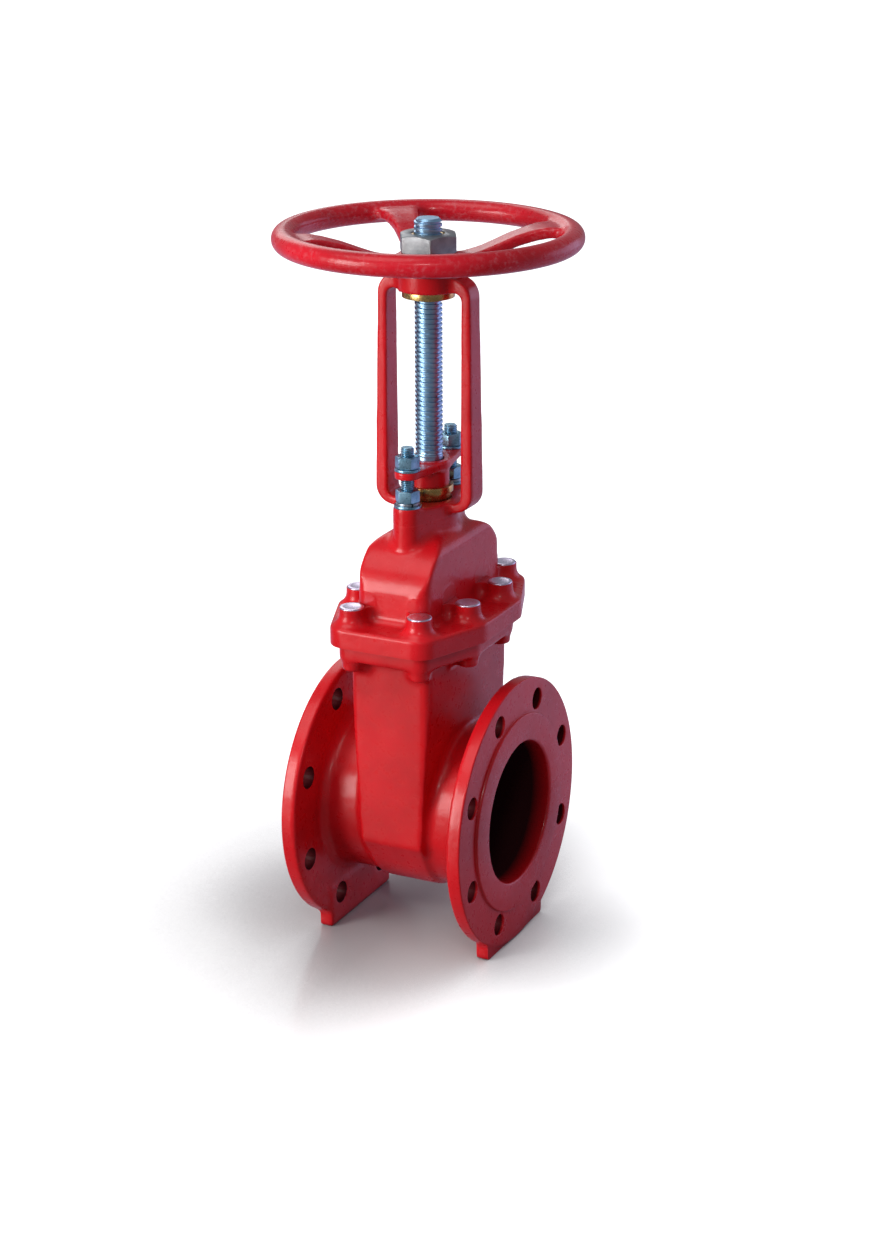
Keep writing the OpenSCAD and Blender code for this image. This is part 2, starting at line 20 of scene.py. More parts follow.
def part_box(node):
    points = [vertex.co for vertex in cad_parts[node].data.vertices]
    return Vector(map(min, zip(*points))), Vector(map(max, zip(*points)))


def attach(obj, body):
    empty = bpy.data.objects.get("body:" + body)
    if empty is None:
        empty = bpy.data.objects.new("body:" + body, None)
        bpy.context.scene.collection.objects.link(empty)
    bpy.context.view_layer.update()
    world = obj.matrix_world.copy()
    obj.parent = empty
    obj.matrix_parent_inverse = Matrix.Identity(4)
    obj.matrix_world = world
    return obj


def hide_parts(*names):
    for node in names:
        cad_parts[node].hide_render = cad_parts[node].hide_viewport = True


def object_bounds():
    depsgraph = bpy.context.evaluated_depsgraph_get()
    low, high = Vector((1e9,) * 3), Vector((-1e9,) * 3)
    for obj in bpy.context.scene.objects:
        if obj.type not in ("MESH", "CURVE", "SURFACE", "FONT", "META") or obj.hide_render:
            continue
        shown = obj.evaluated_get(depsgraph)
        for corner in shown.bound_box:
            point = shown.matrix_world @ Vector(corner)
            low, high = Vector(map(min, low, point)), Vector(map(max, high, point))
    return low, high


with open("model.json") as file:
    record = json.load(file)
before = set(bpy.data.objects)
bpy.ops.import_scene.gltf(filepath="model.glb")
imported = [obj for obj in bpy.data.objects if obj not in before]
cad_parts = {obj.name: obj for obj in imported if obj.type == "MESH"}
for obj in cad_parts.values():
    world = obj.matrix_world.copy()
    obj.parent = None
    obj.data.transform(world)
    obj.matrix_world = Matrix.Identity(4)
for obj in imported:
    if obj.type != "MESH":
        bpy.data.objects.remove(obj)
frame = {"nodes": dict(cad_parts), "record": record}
cad_lo, cad_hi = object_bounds()
RECORD = frame["record"]
MM = 0.001


def top(node):
    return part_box(node)[1].z * 1000


def low(node):
    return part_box(node)[0].z * 1000


# Places taken from the frame, in mm apart from BORE
BORE = [m for m in RECORD["mounts"] if m["name"] == "flange_right"][0]["pos_m"][2]  # metres
AXIS = BORE * 1000  # height of the bore axis
CENTRE = (0, 0, AXIS)
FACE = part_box("body")[1].x * 1000  # flange faces, at x = -FACE and FACE
JOINT = low("bonnet")  # body to bonnet
BOSS = low("screw_caps") + 3.4  # tops of the bonnet screw bosses
NECK = low("yoke")  # bonnet to yoke
HUB_TOP = top("yoke")

SIDES = (-1, 1)
STOCK = 3  # metal left on a face for machining
FLANGE = FACE - 3  # the flange outside its raised face
HOLE_CIRCLE = 120  # radius of the circle of flange holes
HOLE_TURNS = [math.radians((i + 0.5) * 45) for i in range(8)]
FLANGE_HOLES = [
    (0, HOLE_CIRCLE * math.sin(turn), AXIS + HOLE_CIRCLE * math.cos(turn)) for turn in HOLE_TURNS
]
BOLTS = [  # x, y, z of the bonnet screws
    (38, -100, 0), (62, -38.5, 0), (62, 38.5, 0), (38, 100, 0),
    (-38, 100, 0), (-62, 38.5, 0), (-62, -38.5, 0), (-38, -100, 0),
]
EAR = 49.0  # gland studs from the stem
STUDS = [(0, side * EAR, 0) for side in SIDES]
STUD_RADIUS = 7
TAP_RADIUS = 7.08  # tapped holes for the screws and studs
STEM_RADIUS = 14


# ---------------------------------------------------------------- mesh tools


def make_mesh(name, points, faces, weld=True):
    """A clean mesh from points in mm and faces, with its normals outward."""
    points = np.asarray(points, float) * MM
    mesh = bpy.data.meshes.new(name)
    if weld:
        key = np.round(points * 2e6).astype(np.int64)
        _, first, back = np.unique(key, axis=0, return_index=True, return_inverse=True)
        back = back.reshape(-1)
        points = points[first]
        kept = []
        for face in faces:
            corners = []
            for i in face:
                j = int(back[i])
                if not corners or corners[-1] != j:
                    corners.append(j)
            if len(corners) > 1 and corners[0] == corners[-1]:
                corners.pop()
            if len(corners) > 2 and len(set(corners)) == len(corners):
                kept.append(corners)
        faces = kept
    mesh.from_pydata(points.tolist(), [], [list(map(int, face)) for face in faces])
    mesh.update()
    work = bmesh.new()
    work.from_mesh(mesh)
    loose = [vert for vert in work.verts if not vert.link_faces]
    bmesh.ops.delete(work, geom=loose, context="VERTS")
    bmesh.ops.recalc_face_normals(work, faces=work.faces)
    work.to_mesh(mesh)
    work.free()
    return mesh


def add_object(name, mesh):
    target = bpy.data.objects.new(name, mesh)
    bpy.context.scene.collection.objects.link(target)
    return target


def modify(target, kind, **settings):
    """Adds a modifier with these settings and applies it."""
    modifier = target.modifiers.new(kind.lower(), kind)
    for key, value in settings.items():
        setattr(modifier, key, value)
    bpy.context.view_layer.update()
    graph = bpy.context.evaluated_depsgraph_get()
    mesh = bpy.data.meshes.new_from_object(target.evaluated_get(graph))
    old = target.data
    target.modifiers.clear()
    target.data = mesh
    bpy.data.meshes.remove(old)


def vectors(mesh, attribute="co"):
    values = np.empty(len(mesh.vertices) * 3)
    mesh.vertices.foreach_get(attribute, values)
    return values.reshape(-1, 3)


def node_mesh(node):
    """A CAD node's own triangles, welded, as a new mesh."""
    source = frame["nodes"][node].data
    source.calc_loop_triangles()
    triangles = np.empty(len(source.loop_triangles) * 3, np.int32)
    source.loop_triangles.foreach_get("vertices", triangles)
    return make_mesh(node + "_copy", vectors(source) / MM, triangles.reshape(-1, 3))


def join(name, meshes):
    """One mesh holding all of these, which are removed."""
    points, faces, count = [], [], 0
    for mesh in meshes:
        points.append(vectors(mesh))
        faces += [[i + count for i in face.vertices] for face in mesh.polygons]
        count += len(mesh.vertices)
    joined = bpy.data.meshes.new(name)
    joined.from_pydata(np.concatenate(points).tolist(), [], faces)
    joined.update()
    for mesh in meshes:
        bpy.data.meshes.remove(mesh)
    return joined


# For each axis, the directions in the frame of local (u, v, along)
DIRECTIONS = {
    "z": np.array([[1, 0, 0], [0, 1, 0], [0, 0, 1]], float),
    "x": np.array([[0, 1, 0], [0, 0, 1], [1, 0, 0]], float),
    "y": np.array([[1, 0, 0], [0, 0, 1], [0, 1, 0]], float),
}


def lathe(profile, at=(0, 0, 0), segments=128, axis="z", sign=1):
    """Turns a profile of (radius, along) about an axis. A profile that starts
    and ends on the axis gives a solid, and any other is closed on itself."""
    solid = profile[0][0] < 1e-9 and profile[-1][0] < 1e-9
    u_dir, v_dir, along_dir = DIRECTIONS[axis]
    angles = np.arange(segments) * 2 * np.pi / segments
    points, faces = [], []
    for radius, along in profile:
        for angle in angles:
            points.append(u_dir * radius * math.cos(angle) + v_dir * radius * math.sin(angle)
                          + along_dir * along * sign)
    rows = len(profile)
    for row in range(rows - 1 if solid else rows):
        this = row * segments
        other = (row + 1) % rows * segments
        for i in range(segments):
            j = (i + 1) % segments
            faces.append([this + i, this + j, other + j, other + i])
    return make_mesh("lathe", np.array(points) + np.array(at, float), faces)


def cylinder(radius, start, end, at=(0, 0, 0), segments=96, axis="z"):
    return lathe([(0, start), (radius, start), (radius, end), (0, end)], at, segments, axis)


def drill(radius, start, end, face, at=(0, 0, 0), segments=48, chamfer=0.5, axis="z", back=None):
    """A cutter that opens by a small chamfer where it leaves the face, and
    where it enters at the back, if there is one."""
    wide = radius + chamfer + 1
    profile = [(0, start)]
    if back is None:
        profile += [(radius, start)]
    else:
        profile += [(wide, start), (wide, back - 1), (radius, back + chamfer)]
    profile += [(radius, face - chamfer), (wide, face + 1), (wide, end), (0, end)]
    return lathe(profile, at, segments, axis)


def prism(outline, axis, start, end):
    count = len(outline)
    u_dir, v_dir, along_dir = DIRECTIONS[axis]
    points = [u_dir * u + v_dir * v + along_dir * along for along in (start, end) for u, v in outline]
    faces = [list(range(count)), list(range(2 * count - 1, count - 1, -1))]
    for i in range(count):
        j = (i + 1) % count
        faces.append([i, j, count + j, count + i])
    return make_mesh("prism", points, faces)


def box(x0, x1, y0, y1, z0, z1):
    return prism([(x0, y0), (x1, y0), (x1, y1), (x0, y1)], "z", z0, z1)


def arc(x, y, radius, start, end, steps):
    angles = [start + (end - start) * i / steps for i in range(steps + 1)]
    return [(x + radius * math.cos(angle), y + radius * math.sin(angle)) for angle in angles]


def round_rect(half_x, half_y, radius):
    quarter = math.pi / 2
    outline = []
    for k, (x, y) in enumerate(((1, 1), (-1, 1), (-1, -1), (1, -1))):
        outline += arc(x * (half_x - radius), y * (half_y - radius), radius,
                       k * quarter, (k + 1) * quarter, 12)
    return outline


def arch(half, roof, radius, floor):
    quarter = math.pi / 2
    return [(half, floor), *arc(half - radius, roof - radius, radius, 0, quarter, 20),
            *arc(-(half - radius), roof - radius, radius, quarter, math.pi, 20), (-half, floor)]


def hull_of_circles(circles):
    """The outline round a set of circles (x, y, radius)."""
    points = []
    for x, y, radius in circles:
        points += [(x + radius * math.cos(angle), y + radius * math.sin(angle))
                   for angle in np.arange(72) * 2 * np.pi / 72]
    points = sorted(set((round(x, 6), round(y, 6)) for x, y in points))

    def turn(start, middle, end):
        return (middle[0] - start[0]) * (end[1] - start[1]) - (middle[1] - start[1]) * (
            end[0] - start[0])

    def half(ordered):
        chain = []
        for point in ordered:
            while len(chain) > 1 and turn(chain[-2], chain[-1], point) <= 1e-9:
                chain.pop()
            chain.append(point)
        return chain

    return half(points)[:-1] + half(points[::-1])


def bolt_hull(radius, start, end):
    """A plate whose outline wraps circles round the bonnet screws."""
    return prism(hull_of_circles([(x, y, radius) for x, y, _ in BOLTS]), "z", start, end)


def lug(start, end):
    """The plate round the neck and the two stud ears."""
    circles = [(0, 0, 30), (0, EAR, 15), (0, -EAR, 15)]
    return prism(hull_of_circles(circles), "z", start, end)


def scaled(mesh, factor, centre):
    centre = np.array(centre, float) * MM
    points = (vectors(mesh) - centre) * np.array(factor) + centre
    result = mesh.copy()
    result.vertices.foreach_set("co", points.ravel())
    result.update()
    return result


def closed(mesh):
    work = bmesh.new()
    work.from_mesh(mesh)
    bad = any(len(edge.link_faces) != 2 for edge in work.edges)
    work.free()
    return not bad


def boolean(target, tool_mesh, operation):
    """Cuts or crosses the target with a tool mesh. Falls back to the slower
    exact solver when the quick one gives nothing or leaves the mesh open."""
    tool = add_object("tool", tool_mesh)
    before = target.data.copy()
    for solver in ("MANIFOLD", "EXACT"):
        if solver == "EXACT":
            target.data = before.copy()
        modify(target, "BOOLEAN", operation=operation, object=tool, solver=solver)
        if len(target.data.polygons) > 3 and closed(target.data):
            break
    bpy.data.objects.remove(tool)
    bpy.data.meshes.remove(tool_mesh)
    bpy.data.meshes.remove(before)


def combine(operation, first, tools):
    target = add_object("combine", first)
    for tool in tools:
        boolean(target, tool, operation)
    mesh = target.data
    bpy.data.objects.remove(target)
    return mesh


def minus(first, *tools):
    return combine("DIFFERENCE", first, tools)


def common(first, *tools):
    return combine("INTERSECT", first, tools)


def offset(target, distance):
    """Moves the skin along its normals."""
    mesh = target.data
    points = vectors(mesh) + vectors(mesh, "normal") * distance * MM
    mesh.vertices.foreach_set("co", points.ravel())
    mesh.update()


def keep_biggest_shell(target):
    """Keeps only the outer skin, without any loose bubbles inside it."""
    work = bmesh.new()
    work.from_mesh(target.data)
    seen, shells = set(), []
    for seed in work.verts:
        if seed in seen:
            continue
        stack, shell = [seed], []
        seen.add(seed)
        while stack:
            vert = stack.pop()
            shell.append(vert)
            for edge in vert.link_edges:
                other = edge.other_vert(vert)
                if other not in seen:
                    seen.add(other)
                    stack.append(other)
        shells.append(shell)
    shells.sort(key=len, reverse=True)
    for shell in shells[1:]:
        bmesh.ops.delete(work, geom=shell, context="VERTS")
    work.to_mesh(target.data)
    work.free()


def remesh(target, size):
    modify(target, "REMESH", mode="VOXEL", voxel_size=size * MM, adaptivity=0.0,
           use_smooth_shade=True)
    keep_biggest_shell(target)


def smooth(target, times):
    modify(target, "SMOOTH", iterations=times, factor=0.5)


MOST_FACES = 190000  # triangles allowed in one casting


def cast(name, node, stock, cuts, voxel, fillet, smoothing):
    """A casting: the CAD solid with stock, skinned, filleted and machined."""
    target = add_object(name, join(name, [node_mesh(node)] + stock))
    fine = voxel * 1.0
    coarse = max(fine, 1.0)
    remesh(target, coarse)
    # growing the skin, remeshing and shrinking it again rounds inside corners
    offset(target, fillet)
    remesh(target, coarse * 1.1)
    smooth(target, 2)
    offset(target, -fillet)
    remesh(target, fine)
    smooth(target, smoothing)
    for tool in cuts:
        boolean(target, tool, "DIFFERENCE")
    faces = sum(len(face.vertices) - 2 for face in target.data.polygons)
    if faces > MOST_FACES:
        modify(target, "DECIMATE", ratio=MOST_FACES / faces)
    finish_mesh(target, 52)
    modify(target, "WEIGHTED_NORMAL", mode="FACE_AREA", weight=50, keep_sharp=True)
    target.data.update()
    return target


def finish_mesh(target, angle=35):
    """Cleans the mesh and shades it smooth, with edges sharp beyond the angle."""
    mesh = target.data
    work = bmesh.new()
    work.from_mesh(mesh)
    bmesh.ops.remove_doubles(work, verts=work.verts, dist=2e-6)
    bmesh.ops.dissolve_degenerate(work, edges=work.edges, dist=1e-6)
    work.to_mesh(mesh)
    work.free()
    mesh.polygons.foreach_set("use_smooth", [True] * len(mesh.polygons))
    mesh.set_sharp_from_angle(angle=math.radians(angle))
    mesh.update()
    return target


def crisp(name, node, width):
    """A turned or milled piece: the CAD shape with its edges broken."""
    target = add_object(name, node_mesh(node))
    modify(target, "DECIMATE", decimate_type="DISSOLVE", angle_limit=math.radians(1.0))
    modify(target, "BEVEL", limit_method="ANGLE", angle_limit=math.radians(30), width=width * MM,
           segments=2, use_clamp_overlap=True, miter_outer="MITER_ARC")
    return finish_mesh(target)


def threaded(name, shank, end, depth, pitch, hand, form, cone, runout, segments, at=(0, 0)):
    """A rod: a shank of (radius, z), then a helical thread, then a flat end.

    The thread fades in over the runout, and a cone cuts it at the end. The
    form is a list of (share of pitch, share of depth)."""
    radius, start = shank[-1]
    count = len(form)
    rows = (int(math.ceil((end - start) / pitch)) + 4) * count
    base = np.array([start - 2 * pitch + (row // count + form[row % count][0]) * pitch
                     for row in range(rows)])
    cut = np.array([form[row % count][1] for row in range(rows)])
    part = np.arange(segments) / segments
    angles = part * 2 * np.pi
    heights = np.clip(base[:, None] + hand * pitch * part[None, :], start, end)
    fade = np.clip((heights - start) / runout, 0, 1)
    radii = radius - depth * cut[:, None] * fade
    radii = np.minimum(radii, radius - np.clip(heights - (end - cone), 0, None))
    helix = np.stack([radii * np.cos(angles), radii * np.sin(angles), heights], -1).reshape(-1, 3)
    faces = []
    for row in range(rows - 1):
        this = row * segments
        for i in range(segments - 1):
            faces.append([this + i, this + i + 1, this + segments + i + 1, this + segments + i])
        # the seam joins each row to the one a whole turn on
        other = row + hand * count
        if 0 <= other and other + 1 < rows:
            last = this + segments - 1
            faces.append([last, other * segments, (other + 1) * segments, last + segments])
    rings = []
    for ring_radius, z in shank + [(radius - cone, end)]:
        rings += [(ring_radius * math.cos(a), ring_radius * math.sin(a), z) for a in angles]
    rings += [(0, 0, end)]
    for row in range(len(shank) - 1):
        this = len(helix) + row * segments
        for i in range(segments):
            j = (i + 1) % segments
            faces.append([this + i, this + j, this + segments + j, this + segments + i])
    cap = len(helix) + len(shank) * segments
    for i in range(segments):
        faces.append([cap + i, cap + (i + 1) % segments, cap + segments])
    points = np.concatenate([helix, np.array(rings)]) + np.array([at[0], at[1], 0.0])
    return make_mesh(name, points, faces)


# ----------------------------------------------------------------- materials

MATERIALS = {}


class Graph:
    """A material's node tree, with a method for each kind of step."""

    def __init__(self, name):
        material = bpy.data.materials.new(name)
        material.use_nodes = True
        MATERIALS[name] = material
        self.tree = material.node_tree
        self.tree.nodes.clear()
        output = self.add("OutputMaterial")
        self.shader = self.add("BsdfPrincipled")
        self.feed(output.inputs[0], self.shader.outputs[0])
        self.place = self.add("TexCoord").outputs["Object"]

    def feed(self, socket, value):
        """Sets a number or a colour, or links another node's output."""
        if isinstance(value, (int, float)):
            socket.default_value = value
        elif isinstance(value, tuple):
            socket.default_value = (*value, 1)
        else:
            self.tree.links.new(value, socket)

    def add(self, kind, inputs=None, **settings):
        node = self.tree.nodes.new("ShaderNode" + kind)
        for key, value in settings.items():
            setattr(node, key, value)
        for key, value in (inputs or {}).items():
            self.feed(node.inputs[key], value)
        return node

    def surface(self, inputs):
        for key, value in inputs.items():
            self.feed(self.shader.inputs[key], value)

    def noise(self, scale, detail=3.0, rough=0.5):
        inputs = {"Scale": scale, "Detail": detail, "Roughness": rough, "Vector": self.place}
        return self.add("TexNoise", inputs).outputs["Fac"]

    def ramp(self, value, *stops):
        """Colours a value by stops of (position, colour)."""
        node = self.add("ValToRGB", {0: value})
        elements = node.color_ramp.elements
        for element, (position, colour) in zip(elements, (stops[0], stops[-1])):
            element.position, element.color = position, (*colour, 1)
        for position, colour in stops[1:-1]:
            elements.new(position).color = (*colour, 1)
        return node.outputs["Color"]

    def remap(self, value, source, to):
        inputs = {"From Min": source[0], "From Max": source[1],
                  "To Min": to[0], "To Max": to[1], "Value": value}
        return self.add("MapRange", inputs).outputs["Result"]

    def math(self, operation, *values):
        return self.add("Math", dict(enumerate(values)), operation=operation).outputs[0]

    def times(self, first, second):
        return self.math("MULTIPLY", first, second)

    def length(self, x, y):
        return self.math("SQRT", self.math("ADD", self.times(x, x), self.times(y, y)))

    def mix(self, share, first, second):
        # sockets 0, 6 and 7 are the factor and the two colours, and output 2 the colour
        return self.add("Mix", {0: share, 6: first, 7: second}, data_type="RGBA").outputs[2]

    def edges(self, radius):
        """1 on edges: where the normal rounded over this radius in mm leaves the true one."""
        bevel = self.add("Bevel", {"Radius": radius * MM}, samples=4)
        normal = self.add("NewGeometry").outputs["Normal"]
        dot = self.add("VectorMath", {0: bevel.outputs[0], 1: normal}, operation="DOT_PRODUCT")
        return self.remap(dot.outputs["Value"], source=(0.995, 0.86), to=(0.0, 1.0))

    def occlusion(self, distance, samples):
        node = self.add("AmbientOcclusion", {"Distance": distance}, samples=samples)
        return node.outputs["AO"]

    def bump(self, height, strength, distance, normal=None):
        inputs = {"Strength": strength, "Distance": distance * MM, "Height": height}
        if normal is not None:
            inputs["Normal"] = normal
        return self.add("Bump", inputs).outputs["Normal"]


def shade_bore_and_holes(graph, colour, inside):
    """Paints shade into the bore, darker deeper in from the flange faces, and onto the flange hole
    walls. Gives the colour and the specular level.
    """
    split = graph.add("SeparateXYZ", {0: graph.place})
    y = split.outputs["Y"]
    z = graph.math("SUBTRACT", split.outputs["Z"], BORE)
    radius = graph.length(y, z)
    x = graph.math("ABSOLUTE", split.outputs["X"])
    # painted shade in the bore: none at the flange face, full shade deeper in
    bore = graph.times(graph.remap(radius, source=(0.0790, 0.0770), to=(0.0, 1.0)),
                       graph.remap(x, source=(0.104, 0.084), to=(0.0, 1.0)))
    colour = graph.mix(bore, colour, inside)
    # the walls of the flange holes get painted shade: eight at 45 degrees, folded onto one
    turn = graph.math("ABSOLUTE", graph.math("ARCTAN2", y, z))
    fold = graph.math("SUBTRACT", graph.math("MODULO", turn, math.pi / 4), math.pi / 8)
    outward = graph.math("SUBTRACT", graph.times(radius, graph.math("COSINE", fold)),
                         HOLE_CIRCLE * MM)
    across = graph.times(radius, graph.math("SINE", fold))
    reach = graph.length(outward, across)
    hole = graph.times(graph.remap(reach, source=(0.0122, 0.0118), to=(0.0, 1.0)),
                       graph.times(graph.remap(x, source=(0.1015, 0.0990), to=(0.0, 1.0)),
                                   graph.remap(x, source=(0.0820, 0.0845), to=(0.0, 1.0))))
    # painted shade on the hole walls
    colour = graph.mix(hole, colour, (0.055, 0.005, 0.007))
    # the specular level falls from 0.25 to 0.02 there
    dull = graph.math("SUBTRACT", 0.25, graph.times(graph.math("MAXIMUM", hole, bore), 0.23))
    return colour, dull


def paint(name, base, deep, light, inside=None, dust_and_sheen=0.0):
    """Gloss epoxy over sand-cast iron: orange peel, a faint cast texture under it, paler on
    edges partly as thinner paint and partly as a painted highlight, darker in hollows as
    painted shade, and duller there."""
    graph = Graph(name)
    broad = graph.noise(scale=9.0)
    fine = graph.noise(scale=130.0, detail=4.0, rough=0.6)
    peel = graph.noise(scale=520.0, detail=2.0)
    cast_skin = graph.noise(scale=95.0, detail=5.0, rough=0.62)
    colour = graph.ramp(broad, (0.30, deep), (0.52, base), (0.74, light))
    colour = graph.mix(graph.remap(fine, source=(0.3, 0.7), to=(0.0, 0.12)), colour, deep)
    # paler edges: partly thinner paint, partly a painted highlight
    edge = graph.times(graph.edges(radius=1.6),
                       graph.remap(fine, source=(0.35, 0.65), to=(0.15, 1.0)))
    pale = tuple(min(1.0, c * 1.25 + 0.05) for c in light)
    colour = graph.mix(graph.times(edge, 0.34), colour, pale)
    # painted shade: the colour darkens in the hollows that ambient occlusion finds
    hollow = graph.remap(graph.occlusion(distance=18 * MM, samples=4),
                         source=(0.35, 0.85), to=(0.55, 0.0))
    colour = graph.mix(hollow, colour, tuple(c * 0.42 for c in deep))
    graph.surface({"Specular IOR Level": 0.25, "Coat Weight": 0.15, "Coat Roughness": 0.12})
    if inside is not None:
        colour, dull = shade_bore_and_holes(graph, colour, inside)
        graph.surface({"Specular IOR Level": dull, "Coat Weight": graph.times(dull, 0.5)})
    if dust_and_sheen:
        # the pale specks and patches on the wheel are partly dust and partly a painted sheen standing
        # in for mottled highlights
        specks = graph.remap(graph.noise(scale=190.0, detail=5.0, rough=0.7),
                             source=(0.50, 0.66), to=(0.0, 1.0))
        patches = graph.remap(graph.noise(scale=22.0), source=(0.38, 0.60), to=(0.25, 1.0))
        share = graph.times(graph.times(specks, patches), dust_and_sheen)
        colour = graph.mix(share, colour, (0.66, 0.24, 0.27))
    rough = graph.math("ADD", graph.remap(fine, source=(0.3, 0.7), to=(0.25, 0.35)),
                       graph.times(hollow, 0.25))
    skin = graph.bump(cast_skin, strength=0.22, distance=0.55)
    skin = graph.bump(peel, strength=0.16, distance=0.12, normal=skin)
    graph.surface({"Base Color": colour, "Roughness": rough, "Normal": skin, "Coat Normal": skin})


def metal(name, base, other, rough=(0.24, 0.42), scale=60.0, wear=(0.9, 0.9, 0.92), grain=0.1,
          tool_marks=None):
    """Plated, turned or cast metal. Tool marks are fine rings along z, of this scale."""
    graph = Graph(name)
    broad = graph.noise(scale=scale, detail=4.0, rough=0.6)
    fine = graph.noise(scale=scale * 7, rough=0.6)
    colour = graph.ramp(broad, (0.34, other), (0.62, base))
    edge = graph.times(graph.edges(radius=0.6),
                       graph.remap(fine, source=(0.35, 0.6), to=(0.2, 1.0)))
    colour = graph.mix(graph.times(edge, 0.55), colour, wear)
    height = fine
    if tool_marks:
        wave = graph.add("TexWave", {"Scale": tool_marks, "Distortion": 0.6,
                                     "Vector": graph.place},
                         wave_type="BANDS", bands_direction="Z")
        height = graph.math("ADD", graph.times(wave.outputs["Fac"], 0.6), fine)
    graph.surface({"Base Color": colour, "Metallic": 1.0,
                   "Roughness": graph.remap(fine, source=(0.3, 0.7), to=rough),
                   "Normal": graph.bump(height, strength=grain, distance=0.1)})


def soft(name, base, other, rough=(0.5, 0.7), scale=140.0, grain=0.25):
    """Rubber, packing or plastic, paler on its edges."""
    graph = Graph(name)
    broad = graph.noise(scale=scale * 0.2)
    fine = graph.noise(scale=scale * 4, detail=4.0, rough=0.65)
    colour = graph.ramp(broad, (0.3, other), (0.7, base))
    pale = tuple(min(1, c * 1.8 + 0.02) for c in base)
    colour = graph.mix(graph.times(graph.edges(radius=0.8), 0.25), colour, pale)
    graph.surface({"Base Color": colour,
                   "Roughness": graph.remap(fine, source=(0.3, 0.7), to=rough),
                   "Normal": graph.bump(fine, strength=grain, distance=0.15)})


# inside: the colour of the painted shade in the bore
paint("red_epoxy", base=(0.600, 0.006, 0.011), deep=(0.420, 0.003, 0.006),
      light=(0.680, 0.009, 0.016), inside=(0.030, 0.006, 0.007))
# the wheel's pale specks are partly dust and partly a painted sheen
paint("red_epoxy_wheel", base=(0.600, 0.007, 0.018), deep=(0.420, 0.004, 0.010),
      light=(0.680, 0.010, 0.024), dust_and_sheen=0.36)
metal("zinc_steel", base=(0.30, 0.52, 0.66), other=(0.16, 0.34, 0.46), scale=90.0,
      wear=(0.62, 0.72, 0.78))
metal("spring_steel", base=(0.36, 0.39, 0.43), other=(0.26, 0.28, 0.32), rough=(0.30, 0.45),
      scale=90.0)
metal("cap_metal", base=(0.74, 0.66, 0.80), other=(0.62, 0.53, 0.68), rough=(0.26, 0.38),
      scale=70.0, wear=(0.90, 0.88, 0.95))
metal("brass", base=(0.62, 0.41, 0.15), other=(0.44, 0.27, 0.09), rough=(0.22, 0.38),
      scale=50.0, wear=(0.92, 0.70, 0.36), tool_marks=420.0)
metal("stem_steel", base=(0.36, 0.56, 0.74), other=(0.26, 0.43, 0.60), rough=(0.30, 0.42),
      scale=40.0, wear=(0.50, 0.66, 0.80), tool_marks=520.0)
metal("key_steel", base=(0.50, 0.51, 0.54), other=(0.40, 0.41, 0.44), rough=(0.30, 0.45))
metal("grey_iron", base=(0.34, 0.35, 0.36), other=(0.24, 0.25, 0.26), rough=(0.38, 0.56),
      scale=70.0, wear=(0.62, 0.62, 0.64), grain=0.3)
metal("bare_iron", base=(0.16, 0.16, 0.17), other=(0.11, 0.10, 0.10), rough=(0.45, 0.62),
      scale=80.0, grain=0.35)
soft("nbr_rubber", base=(0.020, 0.020, 0.021), other=(0.013, 0.013, 0.014))
soft("epdm_rubber", base=(0.016, 0.016, 0.018), other=(0.010, 0.010, 0.011), rough=(0.38, 0.55))
soft("packing", base=(0.060, 0.060, 0.064), other=(0.030, 0.030, 0.033), rough=(0.45, 0.65),
     scale=260.0, grain=0.5)
soft("nylon", base=(0.74, 0.70, 0.58), other=(0.66, 0.61, 0.49), rough=(0.34, 0.48),
     scale=90.0, grain=0.12)

# Materials that the record gives for nodes, used before the ones given here
SLOT = {}
for part in RECORD.get("subparts", []):
    material_name = part.get("material") or part.get("material_slot") or part.get("slot")
    node_name = part.get("node") or part.get("name")
    if node_name and material_name in MATERIALS:
        SLOT[node_name] = material_name


def dress(target, node, body, default):
    """Gives a piece its material and puts it in the place of its CAD node."""
    name = SLOT.get(node, default)
    target.data.materials.clear()
    target.data.materials.append(MATERIALS[name])
    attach(target, body)
    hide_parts(node)


# ------------------------------------------------------------------ castings


def body_hollow():
    """The wedge chamber: round at the bottom, straight-sided above, tapered along x."""
    start = math.pi + math.asin(16 / 81.5)
    front = [(-84.2, 230 + AXIS), (-84.2, AXIS - 16)]
    front += [(y, z + AXIS) for y, z in arc(0, 0, 81.5, start, 3 * math.pi - start, 60)]
    front += [(84.2, AXIS - 16), (84.2, 230 + AXIS)]
    side = [(18.5, AXIS - 120), (34, AXIS + 128), (34, AXIS + 230),
            (-34, AXIS + 230), (-34, AXIS + 128), (-18.5, AXIS - 120)]
    return common(
        prism(front, "x", -60, 60),
        prism(side, "y", -110, 110),
        prism(round_rect(36, 86.2, 9), "z", AXIS - 130, AXIS + 229),
    )


def flange_drill(spot, side):
    mesh = drill(11.5, 80, FACE + 4, FLANGE, spot, segments=64, chamfer=0.7, axis="x")
    if side < 0:
        mesh = scaled(mesh, (-1, 1, 1), (0, 0, 0))
        mesh.flip_normals()
    return mesh


